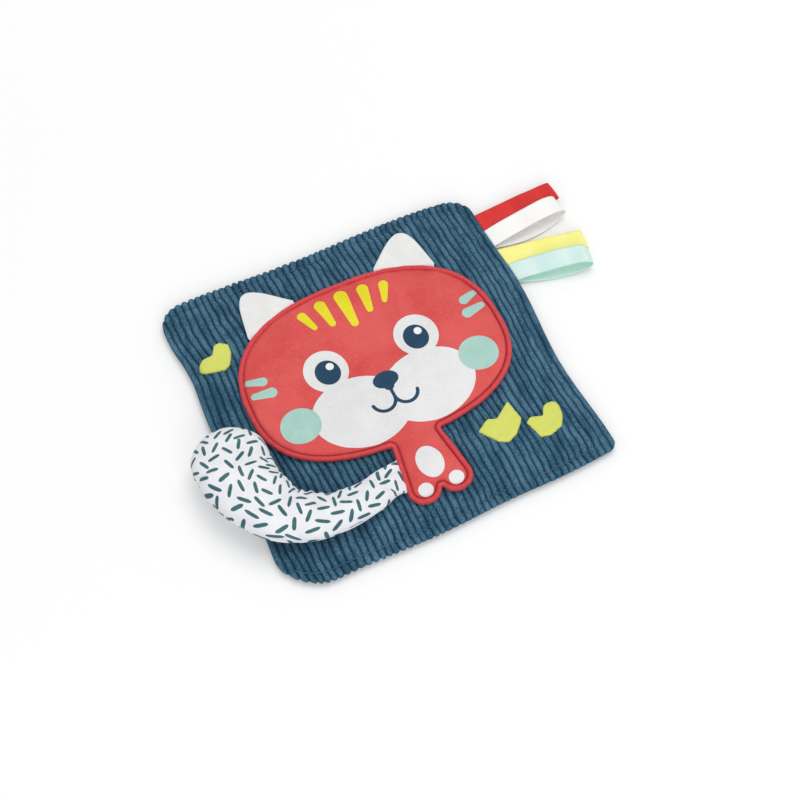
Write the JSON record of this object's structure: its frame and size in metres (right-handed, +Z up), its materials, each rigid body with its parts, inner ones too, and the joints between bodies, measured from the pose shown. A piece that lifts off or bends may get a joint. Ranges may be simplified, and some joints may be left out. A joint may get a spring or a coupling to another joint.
{
  "type": "crinkle toy",
  "caption": "Flat square baby's crinkle toy in corduroy, with a plush animal face, loose ears, a stuffed tail that lifts and ribbon loops on one side.",
  "frame": {"origin": "under the middle of the pad, in the plane that its back panel lies on", "axes": "+Z up out of the front panel, +Y to the top of the design, +X to the side with the ribbon loops"},
  "size_m": [0.2244, 0.1612, 0.0246],
  "materials": {
    "corduroy": "ribbed cotton corduroy, eight ribs to the inch, matt",
    "crinkle_film": "thin crackling film",
    "wadding": "loose polyester wadding",
    "plush": "short cut pile velour with a soft sheen",
    "satin_border": "close satin stitching in embroidery thread",
    "ear_cotton": "plain white cotton, sewn and turned",
    "embroidery": "satin stitch fill in lime thread",
    "tail_print": "smooth white cotton with small scattered dashes",
    "red_ribbon": "satin ribbon, woven edges",
    "white_ribbon": "satin ribbon, woven edges",
    "yellow_ribbon": "satin ribbon, woven edges",
    "mint_ribbon": "satin ribbon, woven edges"
  },
  "bodies": {
    "pad": {"back_panel": "corduroy", "crinkle_film_lower": "crinkle_film", "crinkle_film_upper": "crinkle_film", "wadding": "wadding", "front_panel": "corduroy", "plush_applique": "plush", "applique_border": "satin_border", "heart_patch_left": "embroidery", "heart_patch_middle": "embroidery", "heart_patch_right": "embroidery"},
    "tail": {"tail_upper_panel": "tail_print", "tail_under_panel": "tail_print", "tail_stuffing": "wadding"},
    "left_ear": {"left_ear_back": "ear_cotton", "left_ear_front": "ear_cotton"},
    "right_ear": {"right_ear_back": "ear_cotton", "right_ear_front": "ear_cotton"},
    "red_loop": {"red_ribbon_loop": "red_ribbon"},
    "white_loop": {"white_ribbon_loop": "white_ribbon"},
    "yellow_loop": {"yellow_ribbon_loop": "yellow_ribbon"},
    "mint_loop": {"mint_ribbon_loop": "mint_ribbon"}
  },
  "joints": [
    {"name": "tail_lift", "type": "hinge", "parent": "pad", "child": "tail", "pos_m": [-0.0161, -0.0504, 0.0108], "axis": [0, 1, 0], "range_deg": [0, 120]},
    {"name": "left_ear_lift", "type": "hinge", "parent": "pad", "child": "left_ear", "pos_m": [-0.03405, 0.04786, 0.0101], "axis": [0.9427, 0.3337, 0], "range_deg": [0, 75]},
    {"name": "right_ear_lift", "type": "hinge", "parent": "pad", "child": "right_ear", "pos_m": [0.03405, 0.04786, 0.0101], "axis": [0.9427, -0.3337, 0], "range_deg": [0, 75]},
    {"name": "red_loop_lift", "type": "hinge", "parent": "pad", "child": "red_loop", "pos_m": [0.0808, 0.05969, 0.0026], "axis": [0.0702, -0.9975, 0], "range_deg": [0, 110]},
    {"name": "white_loop_lift", "type": "hinge", "parent": "pad", "child": "white_loop", "pos_m": [0.08156, 0.04939, 0.0026], "axis": [0.0702, -0.9975, 0], "range_deg": [0, 110]},
    {"name": "yellow_loop_lift", "type": "hinge", "parent": "pad", "child": "yellow_loop", "pos_m": [0.08257, 0.03819, 0.0026], "axis": [0.0702, -0.9975, 0], "range_deg": [0, 110]},
    {"name": "mint_loop_lift", "type": "hinge", "parent": "pad", "child": "mint_loop", "pos_m": [0.0833, 0.02789, 0.0026], "axis": [0.0702, -0.9975, 0], "range_deg": [0, 110]}
  ]
}
